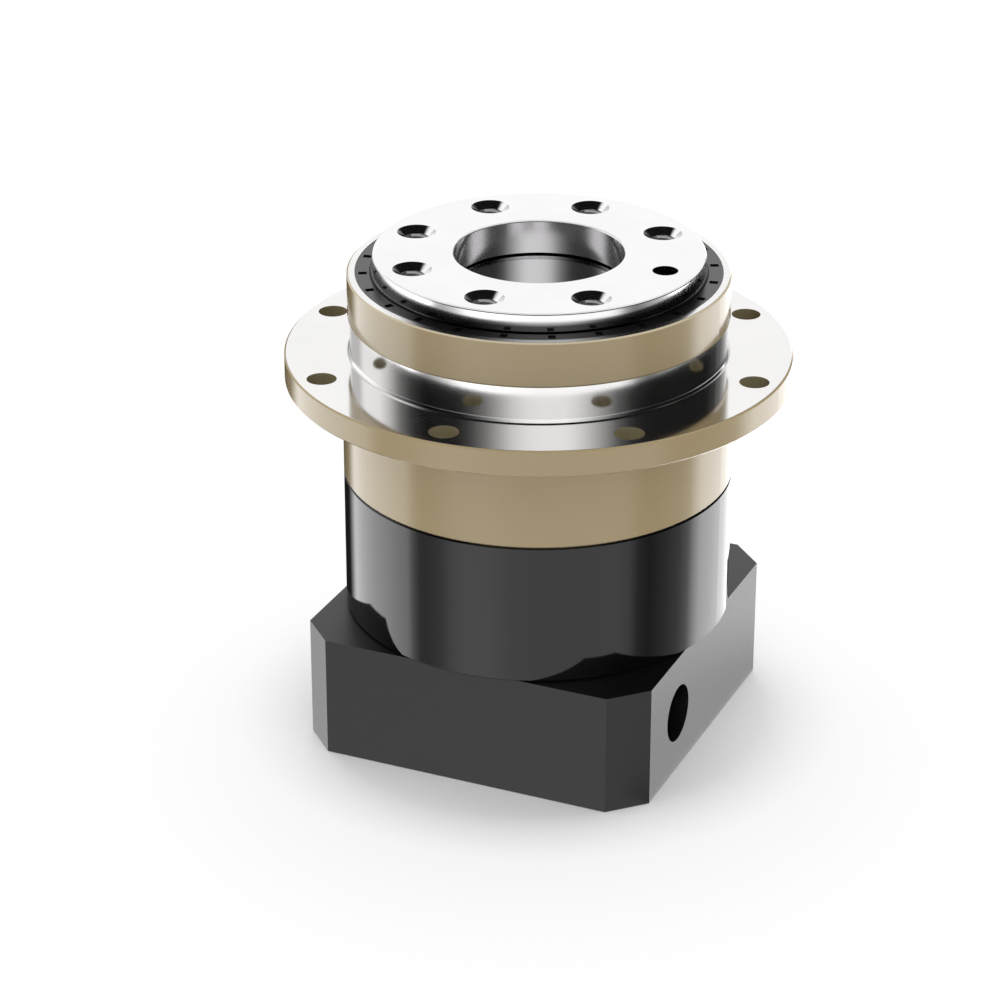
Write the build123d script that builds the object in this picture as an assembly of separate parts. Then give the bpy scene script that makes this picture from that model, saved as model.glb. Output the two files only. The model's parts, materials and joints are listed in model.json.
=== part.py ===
"""Planetary gearhead with a rotating output flange and a square motor adapter plate.

Frame: +Z points from the motor face to the output face. The origin is the centre of the motor face,
so the part stands on the plane Z = 0. The dowel hole and the clamp screw's access hole face +X.
The motor drives the input shaft and its sun gear. Three planets roll between the sun and the fixed
ring gear, and their pins turn the carrier, which is one piece with the output flange.
All lengths are in millimetres and all angles in degrees.
"""

from build123d import *
import math
import os

# Stack of the housing, from the motor face up
plate_thickness = 30.0
ring_body_length = 34.5
lower_body_length = 24.0
flange_thickness = 6.5
groove_length = 8.5
land_length = 11.0
face_standout = 4.5

# Outer sizes of the housing. The walls stand outside the output bearings' seats.
plate_width = 88.0
plate_corner = 8.0
body_wall = 7.5
land_wall = 5.0
groove_depth = 0.5
groove_relief = 0.5
edge_break = 0.4

# Mounting holes of the housing flange
mount_standoff = 7.5
mount_rim = 6.0
mount_hole = 7.0
mount_count = 8

# Output interface
output_disc_inset = 1.0
seal_collar_step = 0.5
centring_diameter = 40.0
centring_depth = 9.0
relief_height = 0.9
relief_depth = 1.0
output_hole_inset = 7.5
output_hole = 6.0
output_hole_depth = 12.0
output_hole_count = 8
tapped_mouth = 9.2

# Motor interface
motor_pilot_diameter = 70.0
motor_pilot_depth = 5.0
motor_circle = 90.0
motor_hole = 6.0
motor_hole_depth = 16.0
motor_shaft_diameter = 19.0
motor_shaft_depth = 30.0

# Gear train
module = 1.0
pressure_angle = 20.0
sun_teeth = 18
planet_teeth = 27
planet_count = 3
addendum = 1.0 * module
dedendum = 1.25 * module
tooth_thinning = 0.07
flank_points = 5
ring_bore_gap = 0.3
ring_face_gap = 1.0
ring_spigot_length = 2.4
ring_spigot_wall = 1.45
ring_web = 0.55

# Clearances
running_gap = 0.05
slip_gap = 0.1
open_gap = 0.5
seal_gap = 0.15

# Input clamp
collet_diameter = 28.0
collar_diameter = 48.0
collar_width = 13.0
clamp_offset = 18.0
clamp_slit = 2.0
collet_slot = 1.5
collet_slot_count = 3
collet_slot_angle = 30.0
collet_clear = 2.0
collar_clear = 2.5
cavity_step = 1.0
hub_foot_gap = 1.0
access_diameter = 14.0

# Input bearing and its seat
input_journal = 35.0
input_bearing_diameter = 55.0
input_bearing_width = 10.0
ball_share = 0.62
race_share = 0.28
input_ball_count = 10
ball_cage_wall = 1.6
ball_cage_border = 1.1
input_flange_thickness = 12.0
input_spigot = 3.0
input_flange_wall = 1.2
input_seal_section = 6.0
input_bearing_lift = 1.0
input_seal_width = 4.0
input_seal_lip = 2.6
circlip_thickness = 1.0
circlip_bite = 0.9
circlip_width = 2.0
circlip_opening = 6.0
shaft_lip = 0.6

# Output bearings
output_journal = 60.0
upper_section = 10.0
lower_section = 9.0
cone_width = 12.0
cup_width = 11.5
cone_rib = 1.1
small_rib_share = 0.7
roller_diameter = 4.0
roller_length = 6.8
roller_tilt = 15.0
roller_count = 24
roller_offset = 4.8
roller_cage_wall = 0.9
bearing_shoulder = 6.0
bearing_span = 14.5
spacer_wall = 3.0
nut_width = 5.0
nut_wall = 6.0
nut_drop = 2.5
nut_clear = 1.55
nut_slot_width = 5.0
nut_slot_depth = 2.0

# Output seal
seal_section = 3.6
seal_depth = 7.2
seal_drop = 0.1
seal_lip_step = 0.9
seal_rim = 0.9
seal_notch_count = 24
seal_notch_length = 1.7
seal_notch_width = 2.0
seal_notch_depth = 0.6
seal_notch_start = 12.0

# Planet carrier
carrier_rim = 2.0
carrier_floor = 2.5
carrier_foot_gap = 2.0
window_gap = 0.5
pin_share = 2 / 3
pin_seat = 9.0
pin_end_gap = 0.3
pin_chamfer = 0.5
sun_hole_gap = 0.8
needle_share = 0.25
needle_count = 14
needle_end_gap = 1.0
washer_thickness = 0.4
washer_reach = 3.4
sun_stem_step = 1.5

# Screws: shank diameter, head diameter, head height, hex key
plate_screw = (4.0, 7.0, 4.0, 3.0)
plate_screw_wall = 3.5
plate_screw_angle = 20.0
plate_screw_count = 4
plate_screw_bite = 8.0
plate_counterbore_depth = 6.0
housing_screw = (3.0, 5.5, 3.0, 2.5)
housing_screw_wall = 3.5
housing_screw_angle = 22.5
housing_screw_count = 8
housing_screw_bite = 11.0
housing_counterbore_depth = 3.5
clamp_screw = (6.0, 10.0, 6.0, 5.0)
clamp_head_seat = 5.0
clamp_screw_length = 17.0
thread_clearance = 0.4
head_clearance = 0.3
shank_clearance = 0.2
thread_runout = 1.0
hex_socket_share = 0.55

# Levels along the axis
plate_top = plate_thickness
body_joint = plate_top + ring_body_length
flange_bottom = body_joint + lower_body_length
flange_top = flange_bottom + flange_thickness
land_bottom = flange_top + groove_length
land_top = land_bottom + land_length
output_face = land_top + face_standout
centring_floor = output_face - centring_depth
input_flange_top = plate_top + input_flange_thickness
carrier_bottom = input_flange_top + carrier_foot_gap
window_bottom = carrier_bottom + carrier_floor
nut_bottom = body_joint - nut_drop
window_top = nut_bottom - open_gap
planet_bottom = window_bottom + open_gap
planet_top = window_top - open_gap
lower_cone_bottom = nut_bottom + nut_width
lower_cone_top = lower_cone_bottom + cone_width
upper_cone_bottom = lower_cone_top + bearing_span
upper_cone_top = upper_cone_bottom + cone_width
disc_bottom = upper_cone_top
seal_floor = land_top - seal_depth
clamp_height = plate_thickness / 2
hub_bottom = motor_pilot_depth + hub_foot_gap
input_bearing_bottom = plate_top + input_bearing_lift
input_bearing_top = input_bearing_bottom + input_bearing_width
shaft_top = input_bearing_top + circlip_thickness + shaft_lip

# Gear sizes that follow from the teeth
ring_teeth = sun_teeth + 2 * planet_teeth
sun_radius = module * sun_teeth / 2
planet_radius = module * planet_teeth / 2
ring_radius = module * ring_teeth / 2
centre_distance = sun_radius + planet_radius
planet_tip = planet_radius + addendum
ring_root = ring_radius + dedendum
tooth_thickness = math.pi * module / 2 - tooth_thinning
gap_width = math.pi * module / 2 + tooth_thinning

# Radii that several pieces share
journal_radius = output_journal / 2
upper_seat = journal_radius + upper_section
lower_seat = journal_radius + lower_section
nut_radius = journal_radius + nut_wall
input_flange_radius = ring_root + input_flange_wall
ring_bore = max(ring_root + ring_bore_gap, nut_radius + nut_clear)
spigot_seat = max(lower_seat, ring_bore + ring_spigot_wall)
wall_root = max(spigot_seat, input_flange_radius + ring_web)
housing_screw_radius = wall_root + housing_screw_wall
body_radius = wall_root + body_wall
land_radius = upper_seat + land_wall
groove_radius = land_radius - groove_depth
mount_radius = body_radius + mount_standoff
flange_radius = mount_radius + mount_rim
roller_radius = journal_radius + roller_offset
disc_radius = upper_seat - output_disc_inset
output_hole_radius = disc_radius - output_hole_inset
collar_radius = disc_radius + seal_collar_step
seal_pocket = collar_radius + seal_section
input_seat = input_bearing_diameter / 2
input_seal_seat = input_journal / 2 + input_seal_section
cavity_radius = max(collar_diameter / 2 + collar_clear, input_seat - cavity_step)
plate_screw_radius = cavity_radius + cavity_step + plate_screw_wall
input_race = (input_journal + input_bearing_diameter) / 4
input_ball = ball_share * (input_bearing_diameter - input_journal) / 2
input_race_height = (input_bearing_bottom + input_bearing_top) / 2
sun_stem = sun_radius - dedendum - sun_stem_step
pin_radius = (journal_radius - centre_distance) * pin_share
carrier_cage = centre_distance + pin_radius + carrier_rim
needle_radius = pin_radius * needle_share
needle_ring = pin_radius + needle_radius + running_gap
planet_bore = needle_ring + needle_radius + running_gap
washer_radius = planet_bore + washer_reach


def revolved(points):
    """A solid turned about Z from an outline of (radius, height) points."""
    return revolve(Plane.XZ * make_face(Polyline(*points, close=True)), Axis.Z)


def tube(inner, outer, bottom, top):
    """A plain ring between two radii and two heights."""
    return revolved([(inner, bottom), (outer, bottom), (outer, top), (inner, top)])


def rod(radius, bottom, top, x=0.0, y=0.0):
    """An upright cylinder between two heights."""
    upright = (Align.CENTER, Align.CENTER, Align.MIN)
    return Pos(x, y, bottom) * Cylinder(radius, top - bottom, align=upright)


def around(shape, count, start=0.0):
    """Copies of a shape evenly spaced about Z."""
    return [Rot(0, 0, start + 360 * k / count) * shape for k in range(count)]


def socket_screw(size, length, seat):
    """A cap screw that points up, with the underside of its head at the given height."""
    shank, head, height, key = size
    body = rod(shank / 2, seat, seat + length) + rod(head / 2, seat - height, seat)
    socket = extrude(RegularPolygon(key / 2, 6, major_radius=False), height * hex_socket_share)
    return body - Pos(0, 0, seat - height) * socket


def involute(angle):
    """The involute function of an angle in radians."""
    return math.tan(angle) - angle


def gear_outline(teeth, tip, root, thickness):
    """The outline of an involute gear with one tooth centred on +X.

    thickness is the tooth's width along the pitch circle. An internal gear's cutter is the
    same outline, with the gap's width as its thickness."""
    pitch = module * teeth / 2
    alpha = math.radians(pressure_angle)
    base = pitch * math.cos(alpha)
    start = max(root, base)

    def half_angle(radius):
        flank = math.acos(min(1.0, base / radius))
        return thickness / (2 * pitch) + involute(alpha) - involute(flank)

    def point(radius, angle):
        return (radius * math.cos(angle), radius * math.sin(angle))

    last = flank_points - 1
    flank_radii = [start + (tip - start) * (k / last) ** 1.5 for k in range(flank_points)]
    step = 2 * math.pi / teeth
    edges = []
    for tooth in range(teeth):
        middle = tooth * step
        rising = [point(r, middle - half_angle(r)) for r in flank_radii]
        falling = [point(r, middle + half_angle(r)) for r in reversed(flank_radii)]
        foot_in = point(root, middle - half_angle(start))
        foot_out = point(root, middle + half_angle(start))
        next_foot = point(root, middle + step - half_angle(start))
        if root < start:
            edges.append(Line(foot_in, rising[0]))
        edges.append(Spline(*rising))
        edges.append(ThreePointArc(rising[-1], point(tip, middle), falling[0]))
        edges.append(Spline(*falling))
        if root < start:
            edges.append(Line(falling[-1], foot_out))
        edges.append(ThreePointArc(foot_out, point(root, middle + step / 2), next_foot))
    return make_face(Wire(edges))


def gear_blank(teeth, bottom, top):
    """An external gear with a tooth on +X."""
    pitch = module * teeth / 2
    outline = gear_outline(teeth, pitch + addendum, pitch - dedendum, tooth_thickness)
    return Pos(0, 0, bottom) * extrude(outline, top - bottom)


def adapter_plate():
    """The square plate that the motor bolts to, with the cavity for the clamp hub."""
    square = extrude(Rectangle(plate_width, plate_width), plate_thickness)
    plate = chamfer(square.edges().filter_by(Axis.Z), plate_corner)
    plate -= rod(motor_pilot_diameter / 2, 0, motor_pilot_depth)
    plate -= rod(cavity_radius, 0, plate_thickness)
    depth = rod(motor_hole / 2, 0, motor_hole_depth, motor_circle / 2)
    plate -= around(depth, 4, 45)
    shank, head = plate_screw[:2]
    seat = motor_pilot_depth + plate_counterbore_depth
    hole = rod(shank / 2 + thread_clearance, motor_pilot_depth, plate_thickness, plate_screw_radius)
    hole += rod(head / 2 + head_clearance, motor_pilot_depth, seat, plate_screw_radius)
    plate -= around(hole, plate_screw_count, plate_screw_angle)
    access = Rot(0, 90, 0) * rod(access_diameter / 2, 0, plate_width / 2)
    return plate - Pos(0, -clamp_offset, clamp_height) * access


def plate_screws():
    """The screws that hold the plate to the input flange, heads in the motor pilot's floor."""
    seat = motor_pilot_depth + plate_counterbore_depth
    length = plate_thickness - seat + plate_screw_bite
    screw = Pos(plate_screw_radius, 0, 0) * socket_screw(plate_screw, length, seat)
    return around(screw, plate_screw_count, plate_screw_angle)


def input_flange():
    """The disc that carries the input bearing, pressed into the ring gear body."""
    spigot_bottom = plate_top - input_spigot
    disc = revolved([
        (input_seal_seat, spigot_bottom),
        (cavity_radius, spigot_bottom),
        (cavity_radius, plate_top),
        (input_flange_radius, plate_top),
        (input_flange_radius, input_flange_top),
        (input_seat, input_flange_top),
        (input_seat, input_bearing_bottom),
        (input_seal_seat, input_bearing_bottom),
    ])
    groove_top = input_bearing_top + circlip_thickness
    disc -= tube(input_seat - circlip_width, input_seat + circlip_bite, input_bearing_top, groove_top)
    thread_end = plate_top + plate_screw_bite + thread_runout
    thread = rod(plate_screw[0] / 2, plate_top, thread_end, plate_screw_radius)
    return disc - around(thread, plate_screw_count, plate_screw_angle)


def input_seal():
    """The radial lip seal on the input shaft."""
    bottom = plate_top - input_spigot
    inner = input_journal / 2 + seal_gap
    return revolved([
        (inner, bottom + 0.30 * input_seal_width),
        (inner + 0.6 * input_seal_lip, bottom),
        (input_seal_seat, bottom),
        (input_seal_seat, bottom + input_seal_width),
        (inner + input_seal_lip, bottom + input_seal_width),
        (inner + input_seal_lip, bottom + 0.40 * input_seal_width),
        (inner + 0.5 * input_seal_lip, bottom + 0.65 * input_seal_width),
        (inner, bottom + 0.55 * input_seal_width),
    ])


def input_circlips():
    """The two retaining rings beside the input bearing: one on the shaft, one in the seat."""
    bottom = input_bearing_top
    top = bottom + circlip_thickness
    journal = input_journal / 2
    forward = (Align.MIN, Align.CENTER, Align.MIN)
    gap = Pos(0, 0, bottom) * Box(input_bearing_diameter, circlip_opening, circlip_thickness, align=forward)
    shaft_ring = tube(journal - circlip_bite, journal + circlip_width, bottom, top) - gap
    seat_ring = tube(input_seat - circlip_width, input_seat + circlip_bite, bottom, top) - gap
    return shaft_ring, seat_ring


def ball_bearing_rings():
    """The inner and outer rings of the deep groove bearing, each with its raceway."""
    land = input_ball * race_share
    race = Pos(0, 0, input_race_height) * Torus(input_race, input_ball / 2 + running_gap)
    inner = tube(input_journal / 2, input_race - land, input_bearing_bottom, input_bearing_top) - race
    outer = tube(input_race + land, input_seat, input_bearing_bottom, input_bearing_top) - race
    return inner, outer


def input_balls():
    """The balls of the input bearing."""
    return around(Pos(input_race, 0, input_race_height) * Sphere(input_ball / 2), input_ball_count)


def input_cage():
    """The ring that spaces the balls, with a round pocket for each."""
    half = input_ball / 2 + ball_cage_border
    wall = ball_cage_wall / 2
    cage = tube(input_race - wall, input_race + wall, input_race_height - half, input_race_height + half)
    drill = Rot(0, 90, 0) * Cylinder(input_ball / 2 + slip_gap, 4 * ball_cage_wall)
    pocket = Pos(input_race, 0, input_race_height) * drill
    return cage - around(pocket, input_ball_count)


def ring_gear_body():
    """The black housing section with the fixed ring gear cut inside it."""
    teeth_bottom = window_bottom - ring_face_gap
    teeth_top = window_top + open_gap
    core = ring_radius - 2 * addendum
    spigot = spigot_seat - running_gap
    spigot_top = body_joint + ring_spigot_length
    body = revolved([
        (core, plate_top),
        (body_radius - edge_break, plate_top),
        (body_radius, plate_top + edge_break),
        (body_radius, body_joint - edge_break),
        (body_radius - edge_break, body_joint),
        (spigot, body_joint),
        (spigot, spigot_top),
        (core, spigot_top),
    ])
    body -= rod(input_flange_radius, plate_top, input_flange_top)
    body -= rod(ring_root + ring_bore_gap, input_flange_top, teeth_bottom)
    body -= rod(ring_bore, teeth_top, spigot_top)
    gaps = gear_outline(ring_teeth, ring_root, ring_radius - addendum, gap_width)
    body -= Pos(0, 0, teeth_bottom) * extrude(gaps, teeth_top - teeth_bottom)
    shank, head = housing_screw[:2]
    seat = plate_top + housing_counterbore_depth
    hole = rod(shank / 2 + shank_clearance, plate_top, body_joint, housing_screw_radius)
    hole += rod(head / 2 + shank_clearance, plate_top, seat, housing_screw_radius)
    return body - around(hole, housing_screw_count, housing_screw_angle)


def housing_screws():
    """The long screws that tie the ring gear body to the output housing."""
    seat = plate_top + housing_counterbore_depth
    length = body_joint - seat + housing_screw_bite
    screw = Pos(housing_screw_radius, 0, 0) * socket_screw(housing_screw, length, seat)
    return around(screw, housing_screw_count, housing_screw_angle)


def output_housing():
    """The upper housing: mounting flange, groove, centring land and the bearing seats."""
    shoulder = journal_radius + bearing_shoulder
    rim = flange_radius
    foot = groove_radius + groove_relief
    housing = revolved([
        (lower_seat, body_joint),
        (body_radius - edge_break, body_joint),
        (body_radius, body_joint + edge_break),
        (body_radius, flange_bottom),
        (rim - edge_break, flange_bottom),
        (rim, flange_bottom + edge_break),
        (rim, flange_top - edge_break),
        (rim - edge_break, flange_top),
        (foot, flange_top),
        (groove_radius, flange_top + groove_relief),
        (groove_radius, land_bottom),
        (land_radius, land_bottom + groove_depth),
        (land_radius, land_top - edge_break),
        (land_radius - edge_break, land_top),
        (seal_pocket, land_top),
        (seal_pocket, seal_floor),
        (upper_seat, seal_floor),
        (upper_seat, upper_cone_bottom),
        (shoulder, upper_cone_bottom),
        (shoulder, lower_cone_top),
        (lower_seat, lower_cone_top),
    ])
    housing -= rod(spigot_seat, body_joint, lower_cone_bottom)
    mount = rod(mount_hole / 2, flange_bottom, flange_top, mount_radius)
    housing -= around(mount, mount_count)
    thread_end = body_joint + housing_screw_bite + thread_runout
    thread = rod(housing_screw[0] / 2, body_joint, thread_end, housing_screw_radius)
    return housing - around(thread, housing_screw_count, housing_screw_angle)


def output_seal():
    """The lip seal round the output flange, with a ring of small moulded pockets in its face."""
    inner = collar_radius + seal_gap
    top = land_top - seal_drop
    lip_foot = top - 3 * seal_lip_step
    ring = revolved([
        (inner + seal_lip_step, seal_floor),
        (seal_pocket, seal_floor),
        (seal_pocket, top),
        (inner, top),
        (inner, lip_foot),
        (inner + seal_lip_step, lip_foot - seal_lip_step),
    ])
    notch = Box(seal_notch_width, seal_notch_length, 2 * seal_notch_depth)
    middle = seal_pocket - seal_rim - seal_notch_width / 2
    return ring - around(Pos(middle, 0, top) * notch, seal_notch_count, seal_notch_start)


def tapered_rows(bottom, cup_radius, up):
    """Inner ring, outer ring, rollers and cage of one tapered roller bearing.

    up is 1 where the rollers lean outwards going up, and -1 where they lean outwards going down.
    The section is drawn for 1 about the bearing's middle and mirrored for -1."""
    middle = bottom + cone_width / 2
    mean = roller_radius
    tilt = math.radians(roller_tilt)
    taper = math.atan(roller_diameter / 2 * math.sin(tilt) / mean)
    along = (math.sin(tilt), math.cos(tilt))
    across = (math.cos(tilt), -math.sin(tilt))

    def section(along_axis, across_axis):
        radius = mean + along_axis * along[0] + across_axis * across[0]
        return (radius, along_axis * along[1] + across_axis * across[1])

    def roller_edge(position, side):
        reach = roller_diameter / 2 + running_gap + position * math.tan(taper)
        return section(position, side * reach)

    half = cone_width / 2
    end = roller_length / 2 + slip_gap
    rib = cone_rib
    small_rib = cone_rib * small_rib_share
    inner = revolved([
        (journal_radius, -half),
        (roller_edge(-end, -1)[0] + small_rib, -half),
        section(-end, -roller_diameter / 2 + small_rib),
        roller_edge(-end, -1),
        roller_edge(end, -1),
        section(end, -roller_diameter / 2 + rib),
        (roller_edge(end, -1)[0] + rib, half),
        (journal_radius, half),
    ])
    cup_low, cup_high = -half, -half + cup_width
    low_edge, high_edge = roller_edge(-half, 1), roller_edge(half, 1)
    slope = (high_edge[0] - low_edge[0]) / (high_edge[1] - low_edge[1])

    def cup_bore(height):
        return low_edge[0] + slope * (height - low_edge[1])

    outer = revolved([
        (cup_bore(cup_low), cup_low),
        (cup_radius, cup_low),
        (cup_radius, cup_high),
        (cup_bore(cup_high), cup_high),
    ])
    wide = roller_diameter / 2 + roller_length / 2 * math.tan(taper)
    narrow = roller_diameter / 2 - roller_length / 2 * math.tan(taper)
    lean = Pos(mean, 0, 0) * Rot(0, roller_tilt, 0)
    roller = lean * Cone(narrow, wide, roller_length)
    pocket = lean * Cone(narrow + slip_gap, wide + slip_gap, roller_length + 2 * slip_gap)
    rollers = around(roller, roller_count)
    wall = roller_cage_wall
    cage = revolved([
        section(-end - wall, 0.0),
        section(-end - wall, wall),
        section(end + wall, wall),
        section(end + wall, 0.0),
    ])
    cage -= around(pocket, roller_count)
    pieces = [inner, outer, Compound(children=rollers), cage]
    if up < 0:
        pieces = [mirror(piece, Plane.XY) for piece in pieces]
    return [Pos(0, 0, middle) * piece for piece in pieces]


def bearing_spacer():
    """The sleeve that keeps the two inner rings apart."""
    return tube(journal_radius, journal_radius + spacer_wall, lower_cone_top, upper_cone_bottom)


def lock_nut():
    """The slotted ring nut that preloads the output bearings."""
    nut = tube(journal_radius, nut_radius, nut_bottom, lower_cone_bottom)
    slot = Pos(nut_radius, 0, nut_bottom) * Box(2 * nut_slot_depth, nut_slot_width, 2 * nut_width)
    return nut - around(slot, 4)


def output_flange():
    """The output flange and planet carrier, one piece, with a window for each planet."""
    disc = disc_radius
    centring = centring_diameter / 2
    carrier = revolved([
        (0, carrier_bottom),
        (carrier_cage, carrier_bottom),
        (carrier_cage, window_top),
        (journal_radius, window_top),
        (journal_radius, disc_bottom),
        (collar_radius, disc_bottom),
        (collar_radius, land_top),
        (disc, land_top + seal_collar_step / 2),
        (disc, output_face - edge_break),
        (disc - edge_break, output_face),
        (centring + edge_break, output_face),
        (centring, output_face - edge_break),
        (centring, centring_floor + relief_height),
        (centring + relief_depth, centring_floor + relief_height),
        (centring + relief_depth, centring_floor),
        (0, centring_floor),
    ])
    carrier -= rod(sun_radius + addendum + sun_hole_gap, carrier_bottom, window_top + 2 * sun_hole_gap)
    window = rod(planet_tip + window_gap, window_bottom, window_top, centre_distance)
    carrier -= around(window, planet_count)
    pin = rod(pin_radius, carrier_bottom, window_top + pin_seat, centre_distance)
    carrier -= around(pin, planet_count)
    floor = output_face - output_hole_depth
    plain = rod(output_hole / 2, floor, output_face, output_hole_radius)
    mouth_depth = (tapped_mouth - output_hole) / 2
    hanging = (Align.CENTER, Align.CENTER, Align.MAX)
    mouth = Cone(output_hole / 2, tapped_mouth / 2, mouth_depth, align=hanging)
    tapped = plain + Pos(output_hole_radius, 0, output_face) * mouth
    spread = 360 / output_hole_count
    carrier -= plain
    return carrier - [Rot(0, 0, spread * k) * tapped for k in range(1, output_hole_count)]


def planet_pins():
    """The pins that the planets turn on, pressed into the carrier."""
    pin = rod(pin_radius, carrier_bottom + pin_end_gap, window_top + pin_seat - pin_end_gap, centre_distance)
    return around(chamfer(pin.edges().filter_by(GeomType.CIRCLE), pin_chamfer), planet_count)


def thrust_washers():
    """The washers above and below each planet."""
    gap = (open_gap - washer_thickness) / 2
    low = tube(pin_radius + running_gap, washer_radius, 0, washer_thickness)
    pair = [
        Pos(centre_distance, 0, window_bottom + gap) * low,
        Pos(centre_distance, 0, planet_top + gap) * low,
    ]
    return [piece for washer in pair for piece in around(washer, planet_count)]


def planet_gear(number):
    """One planet, with a tooth that points at the ring gear."""
    gear = gear_blank(planet_teeth, planet_bottom, planet_top) - rod(planet_bore, planet_bottom, planet_top)
    return Rot(0, 0, 360 * number / planet_count) * Pos(centre_distance, 0, 0) * gear


def needle_rollers(number):
    """The needle rollers between one planet and its pin."""
    bottom = planet_bottom + needle_end_gap
    needles = around(rod(needle_radius, bottom, planet_top - needle_end_gap, needle_ring), needle_count)
    place = Rot(0, 0, 360 * number / planet_count) * Pos(centre_distance, 0, 0)
    return [place * needle for needle in needles]


def sun_gear():
    """The sun gear, with a stem pressed into the input shaft."""
    stem = rod(sun_stem, hub_bottom + motor_shaft_depth, planet_bottom)
    return stem + gear_blank(sun_teeth, planet_bottom - open_gap, planet_top + open_gap)


def input_shaft():
    """The hollow input shaft with its slotted collet."""
    collet = collet_diameter / 2
    journal = input_journal / 2
    step = clamp_height + collar_width / 2 + collet_clear
    bore = motor_shaft_diameter / 2
    shaft = revolved([
        (bore, hub_bottom),
        (collet, hub_bottom),
        (collet, step),
        (journal, step + collet_clear),
        (journal, shaft_top),
        (sun_stem, shaft_top),
        (sun_stem, hub_bottom + motor_shaft_depth),
        (bore, hub_bottom + motor_shaft_depth),
    ])
    groove_top = input_bearing_top + circlip_thickness
    shaft -= tube(journal - circlip_bite, journal + circlip_width, input_bearing_top, groove_top)
    slot_top = clamp_height + collar_width / 2 + collet_clear
    slot = Pos(0, 0, hub_bottom) * Box(
        collet_diameter, collet_slot, slot_top - hub_bottom, align=(Align.MIN, Align.CENTER, Align.MIN)
    )
    return shaft - around(slot, collet_slot_count, collet_slot_angle)


def clamp_collar():
    """The split collar that squeezes the collet onto the motor shaft."""
    bottom = clamp_height - collar_width / 2
    top = clamp_height + collar_width / 2
    collar = tube(collet_diameter / 2, collar_diameter / 2, bottom, top)
    slit = Pos(0, 0, bottom) * Box(
        clamp_slit, collar_diameter, collar_width, align=(Align.CENTER, Align.MAX, Align.MIN)
    )
    shank, head = clamp_screw[:2]
    along_x = Pos(0, -clamp_offset, clamp_height) * Rot(0, 90, 0)
    thread = along_x * rod(shank / 2, clamp_head_seat - clamp_screw_length, clamp_head_seat)
    seat = along_x * rod(head / 2 + head_clearance, clamp_head_seat, collar_diameter)
    return collar - slit - thread - seat


def clamp_bolt():
    """The clamp screw, its head towards the access hole."""
    screw = socket_screw(clamp_screw, clamp_screw_length, 0)
    return Pos(clamp_head_seat, -clamp_offset, clamp_height) * Rot(0, -90, 0) * screw


def save(name, shape):
    """Writes one node's STEP file. A list becomes a group of separate solids."""
    if isinstance(shape, (list, tuple)):
        shape = Compound(children=list(shape))
    export_step(shape, f"parts/{name}.step")


def main():
    """Builds every piece and writes it to the parts folder."""
    os.makedirs("parts", exist_ok=True)
    save("adapter_plate", adapter_plate())
    save("adapter_plate_screws", plate_screws())
    save("input_flange", input_flange())
    save("input_seal", input_seal())
    shaft_circlip, seat_circlip = input_circlips()
    save("input_shaft_circlip", shaft_circlip)
    save("input_seat_circlip", seat_circlip)
    inner_race, outer_race = ball_bearing_rings()
    save("input_bearing_inner_ring", inner_race)
    save("input_bearing_outer_ring", outer_race)
    save("input_bearing_balls", input_balls())
    save("input_bearing_cage", input_cage())
    save("ring_gear_body", ring_gear_body())
    save("housing_screws", housing_screws())
    save("output_housing", output_housing())
    save("output_seal", output_seal())
    bearings = {
        "upper": tapered_rows(upper_cone_bottom, upper_seat, 1),
        "lower": tapered_rows(lower_cone_bottom, lower_seat, -1),
    }
    for place, pieces in bearings.items():
        for kind, piece in zip(("inner_ring", "outer_ring", "rollers", "cage"), pieces):
            save(f"{place}_bearing_{kind}", piece)
    save("bearing_spacer", bearing_spacer())
    save("bearing_lock_nut", lock_nut())
    save("output_flange", output_flange())
    save("planet_pins", planet_pins())
    save("planet_thrust_washers", thrust_washers())
    for number in range(planet_count):
        save(f"planet_gear_{number + 1}", planet_gear(number))
        save(f"planet_needles_{number + 1}", needle_rollers(number))
    save("sun_gear", sun_gear())
    save("input_shaft", input_shaft())
    save("clamp_collar", clamp_collar())
    save("clamp_screw", clamp_bolt())


main()
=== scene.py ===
"""Looks of the planetary gearhead: finishes, thread turns, floor, light and camera."""

import json
import math

import bmesh
import bpy
from mathutils import Matrix, Vector

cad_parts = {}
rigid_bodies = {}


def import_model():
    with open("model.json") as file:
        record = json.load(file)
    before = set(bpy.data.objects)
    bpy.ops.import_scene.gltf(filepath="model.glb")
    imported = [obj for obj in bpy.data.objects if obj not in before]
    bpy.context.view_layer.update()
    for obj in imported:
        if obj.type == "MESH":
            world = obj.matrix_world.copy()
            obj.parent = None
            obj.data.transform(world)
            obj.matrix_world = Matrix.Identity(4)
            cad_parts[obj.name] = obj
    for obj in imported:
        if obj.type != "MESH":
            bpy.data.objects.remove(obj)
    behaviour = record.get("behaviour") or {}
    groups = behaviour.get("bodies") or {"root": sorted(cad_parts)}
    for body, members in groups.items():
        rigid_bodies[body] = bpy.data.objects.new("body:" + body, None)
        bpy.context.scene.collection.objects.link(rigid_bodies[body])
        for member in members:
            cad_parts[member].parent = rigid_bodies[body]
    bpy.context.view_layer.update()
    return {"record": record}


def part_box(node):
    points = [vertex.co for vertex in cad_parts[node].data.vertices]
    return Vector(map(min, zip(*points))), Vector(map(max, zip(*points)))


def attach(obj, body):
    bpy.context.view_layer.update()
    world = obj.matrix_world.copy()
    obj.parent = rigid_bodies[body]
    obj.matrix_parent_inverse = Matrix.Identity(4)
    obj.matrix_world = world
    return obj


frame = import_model()

MM = 0.001

# Camera: where it looks and from where, read off the photograph's perspective
camera_azimuth = 23.62
camera_elevation = 25.41
camera_distance = 810.5 * MM
camera_target = Vector((-8.34, -3.66, 54.71)) * MM
camera_lens = 120.95
camera_sensor = 36.0

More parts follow.
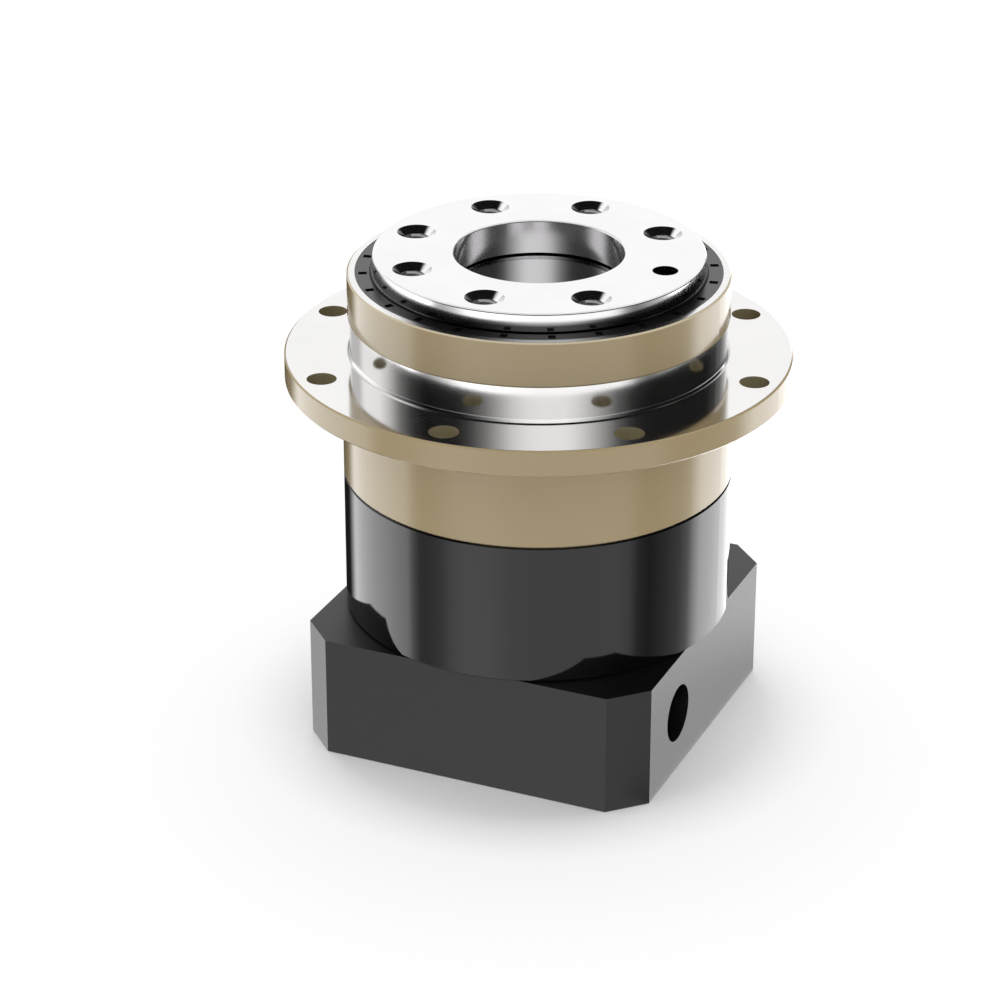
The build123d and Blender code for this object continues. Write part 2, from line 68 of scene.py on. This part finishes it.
# Output flange, in millimetres: its disc, its centring bore, the relief at the bore's foot and the
# seal round the disc
output_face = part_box("output_flange")[1][2] / MM
disc_radius = 39.0
bore_radius = 20.0
bore_depth = 9.0
bore_floor = output_face - bore_depth
relief_radius = 21.0
seal_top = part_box("output_seal")[1][2] / MM

# Output housing, in millimetres: the land, the neck under it and the mounting flange
land_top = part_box("output_housing")[1][2] / MM
land_length = 11.0
neck_length = 8.5
neck_radius = 44.5
neck_fillet = 0.9
flange_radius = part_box("output_housing")[1][0] / MM
flange_thickness = 6.5
flange_top = land_top - land_length - neck_length
flange_bottom = flange_top - flange_thickness
mount_circle = 108.0
mount_hole_radius = 3.5

# The bright finish covers the flange's top face and the neck, between these heights
silver_low = flange_top - 0.07
silver_high = land_top - land_length - 0.05

# How much the fillet's normal still leans up on the neck's wall
wall_lean = 0.62

# Thread form, in millimetres. To each side, the root and the crest reach these shares of the pitch.
thread_radius = 3.0
thread_minor = 2.5
thread_pitch = 1.0
thread_root_share = 0.44
thread_crest_share = 0.10
thread_steps_per_turn = 28

# Tapped holes, in millimetres and degrees. Output hole 0 is the plain dowel hole.
output_thread_circle = 63.0
output_thread_count = 8
output_thread_depth = 11.0
output_mouth_depth = 1.6
motor_thread_circle = 90.0
motor_thread_count = 4
motor_thread_angle = 45
motor_thread_start = 0.6
motor_thread_depth = 15.0

# Floor: half its side and its height, in metres. The camera sees it lifted towards white, by the near
# share up to the first distance from the axis and by the far share past the second, in millimetres.
floor_reach = 6.0
floor_height = -0.2 * MM
shadow_lift_start = 56
shadow_lift_end = 76
shadow_lift_near = 0.15
shadow_lift_far = 0.70

# Shaded floor beside the plate's right face, in millimetres, and the share of light that it takes
plate_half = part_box("adapter_plate")[1][0] / MM
shade_card_gap = 0.3
shade_card_reach = 120
shade_card_height = -0.1
shade_start = 60
shade_end = 90
shade = 0.36

# Lamp: size and place in metres, and power in watts
lamp_size = 1.6
lamp_power = 14.0
lamp_place = Vector((-0.2, 0.5, 1.6))
lamp_target = Vector((0, 0, 0.05))

# The studio round the part: brightness by direction, as (degrees from the camera's side, brightness).
# Seen from the photograph's height, level faces mirror the upper cards and upright walls the lower
# ones. The overhead cards show in sloping faces, and in level ones seen from above.
upper_cards = [
    (-180, 1.07),
    (-170, 1.07),
    (-161, 0.62),
    (-142, 0.62),
    (-134, 1.07),
    (-114, 1.07),
    (-104, 0.70),
    (-94, 0.20),
    (-84, 0.04),
    (-74, 0.0),
    (-50, 0.01),
    (-42, 0.06),
    (-32, 0.22),
    (-24, 0.48),
    (-16, 0.80),
    (-8, 0.98),
    (0, 1.06),
    (16, 1.06),
    (24, 0.88),
    (36, 0.48),
    (48, 0.12),
    (58, 0.02),
    (68, 0.004),
    (124, 0.006),
    (134, 0.05),
    (144, 0.14),
    (152, 0.36),
    (160, 0.72),
    (164, 0.95),
    (168, 1.07),
    (180, 1.07),
]
lower_cards = [
    (-180, 0.01),
    (-152, 0.02),
    (-147, 0.5),
    (-139, 2.5),
    (-100, 2.9),
    (-84, 2.5),
    (-80, 1.2),
    (-75, 0.5),
    (-70, 0.45),
    (-60, 0.7),
    (-52, 1.2),
    (-44, 1.5),
    (-30, 1.5),
    (-16, 1.25),
    (0, 1.15),
    (48, 1.15),
    (55, 0.95),
    (61, 0.35),
    (69, 0.18),
    (82, 0.40),
    (92, 0.60),
    (100, 1.1),
    (105, 2.4),
    (112, 3.5),
    (130, 2.8),
    (150, 2.6),
    (180, 2.6),
]
overhead_cards = [
    (-180, 0.9),
    (-130, 0.9),
    (-115, 0.004),
    (115, 0.004),
    (130, 0.9),
    (180, 0.9),
]
# Where one ring of cards gives way to the next, as the sine of the elevation
horizon_blur = 0.06
overhead_start = 0.72
overhead_full = 0.80
# What lights the part where it isn't a mirror
even_light = 0.80


def srgb(red, green, blue):
    """Turns screen values from 0 to 255 into the linear colour that a shader takes."""
    def linear(value):
        value /= 255
        return value / 12.92 if value <= 0.04045 else ((value + 0.055) / 1.055) ** 2.4
    return (linear(red), linear(green), linear(blue), 1.0)


def grey(value):
    """A linear grey."""
    return (value, value, value, 1.0)


class Nodes:
    """A node tree, with short calls for the nodes that the finishes, the floor and the studio share."""

    def __init__(self, tree):
        self.tree = tree

    def feed(self, socket, value):
        """Links a socket to an input, or sets the input to a value."""
        if isinstance(value, bpy.types.NodeSocket):
            self.tree.links.new(value, socket)
        else:
            socket.default_value = value

    def new(self, kind, **inputs):
        """Adds a node and feeds its inputs, named with underscores for spaces."""
        node = self.tree.nodes.new("ShaderNode" + kind)
        for name, value in inputs.items():
            self.feed(node.inputs[name.replace("_", " ")], value)
        return node

    def math(self, operation, *inputs):
        node = self.new("Math")
        node.operation = operation
        for socket, value in zip(node.inputs, inputs):
            self.feed(socket, value)
        return node.outputs[0]

    def product(self, first, *others):
        """All the values multiplied."""
        for value in others:
            first = self.math("MULTIPLY", first, value)
        return first

    def split(self, vector):
        return self.new("SeparateXYZ", Vector=vector).outputs

    def join(self, x, y, z):
        return self.new("CombineXYZ", X=x, Y=y, Z=z).outputs[0]

    def noise(self, vector, scale, detail):
        return self.new("TexNoise", Vector=vector, Scale=scale, Detail=detail).outputs["Fac"]

    def ramp(self, value, low, high, start=0.0, end=1.0):
        """Start below low, end above high, and an even change between them."""
        node = self.new("MapRange", Value=value, From_Min=low, From_Max=high, To_Min=start, To_Max=end)
        return node.outputs[0]

    def spread(self, value, start, end):
        """Maps 0 to 1 onto a range."""
        return self.ramp(value, 0.0, 1.0, start, end)

    def rise(self, value, low, high):
        """0 below low and 1 above high, both in millimetres."""
        return self.ramp(value, low * MM, high * MM)

    def fall(self, value, low, high):
        """1 below low and 0 above high, both in millimetres."""
        return self.ramp(value, low * MM, high * MM, 1.0, 0.0)

    def mix(self, factor, first, second, kind="RGBA"):
        """A colour between two colours, or with another kind a number or a vector."""
        node = self.new("Mix")
        node.data_type = kind
        self.feed(node.inputs["Factor"], factor)
        socket_type = "VALUE" if kind == "FLOAT" else kind
        ends = [socket for socket in node.inputs if socket.type == socket_type and socket.name in ("A", "B")]
        for socket, value in zip(ends, (first, second)):
            self.feed(socket, value)
        return next(socket for socket in node.outputs if socket.type == socket_type)

    def mix_shaders(self, factor, first, second):
        node = self.new("MixShader")
        for socket, value in zip(node.inputs, (factor, first, second)):
            self.feed(socket, value)
        return node.outputs[0]


class Finish(Nodes):
    """A material's nodes round its Principled shader, with places measured from the part's origin."""

    def __init__(self, name, **inputs):
        self.material = bpy.data.materials.new(name)
        self.material.use_nodes = True
        super().__init__(self.material.node_tree)
        self.shader = self.tree.nodes["Principled BSDF"]
        self.place = self.new("TexCoord").outputs["Object"]
        self.x, self.y, self.z = self.split(self.place)
        squares = self.math("ADD", self.product(self.x, self.x), self.product(self.y, self.y))
        self.radius = self.math("SQRT", squares)
        self.set(**inputs)

    def set(self, **inputs):
        """Feeds the shader's inputs, named with underscores for spaces."""
        for name, value in inputs.items():
            self.feed(self.shader.inputs[name.replace("_", " ")], value)

    def surface(self, shader):
        self.feed(self.tree.nodes["Material Output"].inputs["Surface"], shader)

    def cloud(self, scale, first, second):
        """A colour that drifts softly between two."""
        return self.mix(self.noise(self.place, scale, 3.0), first, second)

    def turned(self, grain):
        """Noise that is constant round the axis: the rings that a lathe leaves."""
        outwards, upwards = self.product(self.radius, grain), self.product(self.z, grain)
        return self.noise(self.join(outwards, 0.0, upwards), 1.0, 2.0)

    def bump(self, height, strength, distance):
        bumped = self.new("Bump", Height=height, Strength=strength, Distance=distance).outputs[0]
        self.set(Normal=bumped)
        return bumped

    def set_normal(self, factor, plain, special):
        """Shades with a second normal where the factor is 1."""
        unit = self.new("VectorMath")
        unit.operation = "NORMALIZE"
        self.feed(unit.inputs[0], special)
        self.set(Normal=self.mix(factor, plain, unit.outputs[0], "VECTOR"))


def polished_steel():
    """The output flange: bright with faint lathe rings, duller in the bore, with painted shade in hollows
    and by the seal.
    """
    finish = Finish("polished_steel")
    radius, z = finish.radius, finish.z
    above_floor = finish.rise(z, bore_floor - 0.5, bore_floor - 0.4)
    # Painted shade: the relief at the bore's foot is coloured dark.
    relief = finish.product(
        finish.rise(radius, bore_radius + 0.02, bore_radius + 0.06),
        finish.fall(radius, relief_radius + 0.3, relief_radius + 0.4),
        finish.fall(z, bore_floor + 0.42, bore_floor + 0.46),
        above_floor,
    )
    # Painted shade: the gap between the disc and the seal is coloured dark.
    seal_gap_shade = finish.product(
        finish.rise(radius, disc_radius + 0.03, disc_radius + 0.06),
        finish.fall(z, seal_top + 0.3, seal_top + 0.4),
        finish.rise(z, seal_top - 0.8, seal_top - 0.7),
    )
    in_bore = finish.product(finish.fall(radius, bore_radius + 0.2, bore_radius + 0.3), above_floor)
    on_floor = finish.product(in_bore, finish.fall(z, bore_floor + 0.04, bore_floor + 0.08))
    bore_wall = finish.product(
        finish.math("SUBTRACT", in_bore, on_floor),
        finish.fall(z, output_face - 0.1, output_face - 0.05),
    )
    disc_wall = finish.rise(radius, disc_radius - 0.2, disc_radius - 0.1)
    # Painted shade: the disc's wall darkens towards the seal.
    seal_side_shade = finish.product(finish.fall(z, output_face - 2.4, output_face - 1.6), disc_wall)

    colour = finish.cloud(90.0, srgb(236, 235, 236), srgb(246, 245, 246))
    # Painted shade: the bore's floor is darker.
    colour = finish.mix(on_floor, colour, srgb(207, 206, 207))
    # Painted shade on the disc's wall near the seal.
    colour = finish.mix(seal_side_shade, colour, srgb(165, 164, 165))
    # Painted shade: the relief and the gap by the seal are coloured dark.
    colour = finish.mix(finish.math("MAXIMUM", relief, seal_gap_shade), colour, srgb(20, 20, 21))
    rings = finish.turned(9000.0)
    rougher = finish.math("ADD", finish.product(disc_wall, 0.07), finish.product(bore_wall, 0.04))
    finish.set(
        Base_Color=colour,
        Metallic=finish.spread(bore_wall, 1.0, 0.9),
        Roughness=finish.math("ADD", finish.spread(rings, 0.06, 0.10), rougher),
    )

    # The chamfers at the top edges are shaded like the level face
    bumped = finish.bump(rings, 0.02, 0.00001)
    outer_edge = finish.rise(radius, disc_radius - 0.6, disc_radius - 0.5)
    inner_edge = finish.fall(radius, bore_radius + 0.6, bore_radius + 0.7)
    edges = finish.product(
        finish.math("MAXIMUM", outer_edge, inner_edge),
        finish.rise(z, output_face - 0.26, output_face - 0.24),
    )
    finish.set_normal(edges, bumped, finish.join(0.0, 0.0, 1.0))
    return finish.material


def housing_finish():
    """Champagne anodising, machined bright on the flange's top face, the neck and the land's top face."""
    finish = Finish("champagne_housing", IOR=1.5)
    x, y, z, radius = finish.x, finish.y, finish.z, finish.radius
    above_low = finish.rise(z, silver_low, silver_low + 0.05)
    between = finish.math("SUBTRACT", above_low, finish.rise(z, silver_high, silver_high + 0.05))
    inside_rim = finish.fall(radius, flange_radius - 0.3, flange_radius - 0.2)
    land_face = finish.rise(z, land_top - 0.08, land_top - 0.02)
    silver = finish.math("MAXIMUM", finish.product(between, inside_rim), land_face)
    off_circle = finish.math("ABSOLUTE", finish.math("SUBTRACT", radius, mount_circle / 2 * MM))
    # Painted shade: the walls of the mounting holes are darker.
    mount_hole_shade = finish.product(
        finish.fall(off_circle, mount_hole_radius + 0.1, mount_hole_radius + 0.3),
        finish.rise(z, flange_bottom + 0.03, flange_bottom + 0.1),
        finish.fall(z, silver_low, silver_low + 0.05),
    )

    champagne = finish.cloud(60.0, srgb(161, 144, 109), srgb(166, 149, 114))
    # Painted shade in the mounting holes.
    champagne = finish.mix(mount_hole_shade, champagne, srgb(135, 126, 98))
    # Painted highlight: the land's top edge is a lighter champagne.
    land_edge_highlight = finish.rise(z, land_top - 0.42, land_top - 0.38)
    champagne = finish.mix(land_edge_highlight, champagne, srgb(196, 184, 156))
    bare = finish.cloud(60.0, srgb(232, 231, 230), srgb(240, 239, 238))
    rings = finish.turned(7000.0)
    on_neck = finish.rise(z, flange_top + 0.6, flange_top + 0.9)
    bright = finish.math("ADD", finish.spread(rings, 0.08, 0.10), finish.product(on_neck, 0.04))
    finish.set(
        Base_Color=finish.mix(silver, champagne, bare),
        Metallic=silver,
        Roughness=finish.mix(silver, finish.spread(rings, 0.10, 0.15), bright, "FLOAT"),
    )

    # The neck's foot is shaded as a fillet: the normal turns from outwards on the neck to up on the flange
    bumped = finish.bump(rings, 0.005, 0.00002)
    on_wall = finish.rise(z, flange_top + 0.02, flange_top + 0.04)
    outwards = finish.math("MAXIMUM", finish.fall(radius, neck_radius, neck_radius + neck_fillet), on_wall)
    near_flange = finish.fall(z, flange_top, flange_top + neck_fillet)
    upwards = finish.math("MINIMUM", near_flange, finish.spread(on_wall, 1.0, wall_lean))
    across = finish.math("DIVIDE", outwards, radius)
    fillet = finish.join(finish.product(x, across), finish.product(y, across), upwards)
    at_foot = finish.product(
        finish.fall(z, flange_top + 1.0, flange_top + 1.1),
        finish.fall(radius, neck_radius + 1.0, neck_radius + 1.1),
        above_low,
    )
    finish.set_normal(at_foot, bumped, fillet)
    return finish.material


def black_gloss():
    """The ring gear body's gloss black anodising."""
    finish = Finish("black_gloss", Metallic=0.0, IOR=1.5)
    rings = finish.turned(6000.0)
    finish.set(
        Base_Color=finish.cloud(70.0, srgb(9, 8, 10), srgb(14, 13, 15)),
        Roughness=finish.spread(rings, 0.06, 0.10),
    )
    finish.bump(rings, 0.03, 0.00002)
    return finish.material


def black_satin():
    """The adapter plate's finely blasted black anodising."""
    finish = Finish("black_satin", Metallic=0.0, IOR=1.5)
    grain = finish.noise(finish.place, 2600.0, 4.0)
    finish.set(
        Base_Color=finish.cloud(50.0, srgb(10, 9, 11), srgb(16, 15, 17)),
        Roughness=finish.spread(grain, 0.30, 0.44),
    )
    finish.bump(grain, 0.50, 0.00003)
    return finish.material


def rubber():
    """The seals' dark grey rubber."""
    finish = Finish("seal_rubber", Metallic=0.0, IOR=1.5)
    grain = finish.noise(finish.place, 1800.0, 4.0)
    finish.set(
        Base_Color=finish.mix(grain, srgb(13, 12, 13), srgb(20, 19, 20)),
        Roughness=finish.spread(grain, 0.16, 0.24),
    )
    finish.bump(grain, 0.05, 0.00002)
    return finish.material


def plain_metal(name, dark, light, smooth, rough, metallic=1.0):
    """A metal for the inner pieces and the threads, cloudy in colour and turned in rings."""
    finish = Finish(name, Metallic=metallic)
    rings = finish.turned(9000.0)
    finish.set(Base_Color=finish.cloud(120.0, dark, light), Roughness=finish.spread(rings, smooth, rough))
    finish.bump(rings, 0.04, 0.00002)
    return finish.material


def paint_nodes():
    """Gives every CAD node the finish of its material slot, and returns the finishes."""
    finishes = {
        "polished_steel": polished_steel(),
        "champagne": housing_finish(),
        "black_anodised": black_gloss(),
        "seal_rubber": rubber(),
    }
    for name, dark, light, smooth, rough in (
        ("machined_aluminium", (205, 205, 205), (220, 220, 220), 0.25, 0.35),
        ("ground_steel", (170, 170, 172), (190, 190, 192), 0.18, 0.28),
        ("black_steel", (48, 48, 50), (60, 60, 62), 0.30, 0.42),
        ("cage_steel", (150, 146, 136), (168, 163, 152), 0.30, 0.42),
    ):
        finishes[name] = plain_metal(name, srgb(*dark), srgb(*light), smooth, rough)
    plate_finish = black_satin()
    for row in frame["record"]["subparts"]:
        finish = plate_finish if row["node"] == "adapter_plate" else finishes[row["material_slot"]]
        piece = bpy.data.objects[row["node"]]
        for slot in piece.material_slots:
            slot.material = finish
        if not piece.material_slots:
            piece.data.materials.append(finish)
    return finishes


def add_mesh(name, form, material):
    """Makes an object of a bmesh and puts it in the scene."""
    mesh = bpy.data.meshes.new(name)
    form.to_mesh(mesh)
    form.free()
    mesh.materials.append(material)
    piece = bpy.data.objects.new(name, mesh)
    bpy.context.collection.objects.link(piece)
    return piece


def thread_turns(name, x, y, low, high, material):
    """A helical ridge that stands in from the wall of an upright hole, in millimetres."""
    turns = (high - low) / thread_pitch - 1
    root = thread_pitch * thread_root_share
    crest = thread_pitch * thread_crest_share
    form = bmesh.new()
    rows = []
    for k in range(int(turns * thread_steps_per_turn) + 1):
        angle = 2 * math.pi * k / thread_steps_per_turn
        height = low + thread_pitch / 2 + thread_pitch * k / thread_steps_per_turn
        section = [
            (thread_radius, height - root),
            (thread_minor, height - crest),
            (thread_minor, height + crest),
            (thread_radius, height + root),
        ]
        rows.append([
            form.verts.new((
                (x + radius * math.cos(angle)) * MM,
                (y + radius * math.sin(angle)) * MM,
                z * MM,
            )) for radius, z in section
        ])
    for row, following in zip(rows, rows[1:]):
        for k in range(len(row)):
            after = (k + 1) % len(row)
            form.faces.new((row[k], row[after], following[after], following[k]))
    form.faces.new(rows[0][::-1])
    form.faces.new(rows[-1])
    bmesh.ops.recalc_face_normals(form, faces=form.faces)
    return add_mesh(name, form, material)


def circle_point(diameter, degrees):
    """A point on a circle round the axis, in millimetres."""
    angle = math.radians(degrees)
    return diameter / 2 * math.cos(angle), diameter / 2 * math.sin(angle)


def make_threads(finishes):
    """The thread turns of the seven tapped output holes and the four motor holes."""
    steel = plain_metal("thread_steel", srgb(150, 150, 150), srgb(170, 170, 170), 0.40, 0.50, metallic=0.1)
    low, high = output_face - output_thread_depth, output_face - output_mouth_depth
    for k in range(1, output_thread_count):
        x, y = circle_point(output_thread_circle, 360 / output_thread_count * k)
        piece = thread_turns(f"output_thread_{k}", x, y, low, high, steel)
        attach(piece, "carrier")
    for k in range(motor_thread_count):
        x, y = circle_point(motor_thread_circle, motor_thread_angle + 360 / motor_thread_count * k)
        piece = thread_turns(
            f"motor_thread_{k + 1}", x, y, motor_thread_start, motor_thread_depth, finishes["black_steel"]
        )
        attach(piece, "housing")


def make_floor():
    """A pale floor that keeps the soft shadow and stays out of mirror reflections."""
    finish = Finish("floor", Roughness=0.9, Specular_IOR_Level=0.0)
    finish.set(Base_Color=finish.cloud(3.0, (0.93, 0.93, 0.935, 1.0), (0.94, 0.94, 0.945, 1.0)))
    glow = finish.new("Emission", Color=grey(1.0), Strength=1.0)
    away = finish.rise(finish.radius, shadow_lift_start, shadow_lift_end)
    lift = finish.product(
        finish.new("LightPath").outputs["Is Camera Ray"],
        finish.spread(away, shadow_lift_near, shadow_lift_far),
    )
    finish.surface(finish.mix_shaders(lift, finish.shader.outputs[0], glow.outputs[0]))

    form = bmesh.new()
    bmesh.ops.create_grid(form, x_segments=1, y_segments=1, size=floor_reach)
    floor = add_mesh("floor", form, finish.material)
    floor.location.z = floor_height
    floor.visible_glossy = False


def make_shade_card():
    """What the plate's right face mirrors: the shaded floor beside it. Only mirror rays see it."""
    finish = Finish("shade_card")
    clear = finish.new("BsdfTransparent")
    black = finish.new("Emission", Strength=0.0)
    away = finish.rise(finish.radius, shade_start, shade_end)
    finish.surface(finish.mix_shaders(finish.spread(away, shade, 0.0), clear.outputs[0], black.outputs[0]))

    left, right = plate_half + shade_card_gap, shade_card_reach
    front, back = -plate_half, shade_card_reach
    corners = ((left, front), (right, front), (right, back), (left, back))
    form = bmesh.new()
    form.faces.new([form.verts.new((x * MM, y * MM, shade_card_height * MM)) for x, y in corners])
    card = add_mesh("shade_card", form, finish.material)
    card.visible_camera = False
    card.visible_diffuse = False
    card.visible_shadow = False
    card.visible_transmission = False


def make_world():
    """Light and dark cards for mirror rays, plain white for the camera, even light for all other rays."""
    world = bpy.data.worlds.new("studio")
    bpy.context.scene.world = world
    world.use_nodes = True
    world.node_tree.nodes.clear()
    nodes = Nodes(world.node_tree)
    x, y, z = nodes.split(nodes.new("TexCoord").outputs["Generated"])

    # The angle is 0 towards the camera and grows to its right, seen from above
    side = math.radians(camera_azimuth - 90)
    across = nodes.math("ADD", nodes.product(x, -math.sin(side)), nodes.product(y, math.cos(side)))
    ahead = nodes.math("ADD", nodes.product(x, math.cos(side)), nodes.product(y, math.sin(side)))
    angle = nodes.math("ARCTAN2", across, ahead)
    share = nodes.math("ADD", nodes.math("DIVIDE", angle, 2 * math.pi), 0.5)

    def ring(cards):
        """The brightness round the horizon that a list of cards gives."""
        node = nodes.new("ValToRGB", Fac=share)
        stops = node.color_ramp.elements
        while len(stops) < len(cards):
            stops.new(0.5)
        for stop, (degrees, brightness) in zip(stops, cards):
            stop.position = (degrees + 180) / 360
            stop.color = grey(brightness)
        return node.outputs["Color"]

    walls = nodes.mix(nodes.ramp(z, -horizon_blur, horizon_blur), ring(lower_cards), ring(upper_cards))
    seen = nodes.mix(nodes.ramp(z, overhead_start, overhead_full), walls, ring(overhead_cards))
    mirrored = nodes.new("Background", Color=seen)
    even = nodes.new("Background", Color=grey(even_light))
    white = nodes.new("Background", Color=grey(1.0))
    path = nodes.new("LightPath").outputs
    on_part = nodes.mix_shaders(path["Is Glossy Ray"], even.outputs[0], mirrored.outputs[0])
    final = nodes.mix_shaders(path["Is Camera Ray"], on_part, white.outputs[0])
    nodes.new("OutputWorld", Surface=final)


def make_lamp():
    """A broad soft lamp above the part, for the shadow at its foot."""
    light = bpy.data.lights.new("soft_top", "AREA")
    light.shape = "DISK"
    light.size = lamp_size
    light.energy = lamp_power
    lamp = bpy.data.objects.new("soft_top", light)
    lamp.location = lamp_place
    lamp.rotation_euler = (lamp_target - lamp_place).to_track_quat("-Z", "Y").to_euler()
    lamp.visible_glossy = False
    bpy.context.collection.objects.link(lamp)


def make_camera():
    """The photograph's camera."""
    azimuth = math.radians(camera_azimuth)
    elevation = math.radians(camera_elevation)
    back = Vector((
        math.sin(azimuth) * math.cos(elevation),
        -math.cos(azimuth) * math.cos(elevation),
        math.sin(elevation),
    ))
    right = Vector((math.cos(azimuth), math.sin(azimuth), 0))
    up = back.cross(right)
    data = bpy.data.cameras.new("camera")
    data.lens = camera_lens
    data.sensor_width = camera_sensor
    data.clip_start = 0.01
    camera = bpy.data.objects.new("camera", data)
    turn = Matrix((right, up, back)).transposed().to_4x4()
    camera.matrix_world = Matrix.Translation(camera_target + back * camera_distance) @ turn
    bpy.context.collection.objects.link(camera)
    bpy.context.scene.camera = camera


make_camera()
make_threads(paint_nodes())
make_floor()
make_shade_card()
make_world()
make_lamp()
bpy.context.scene.view_settings.view_transform = "Standard"
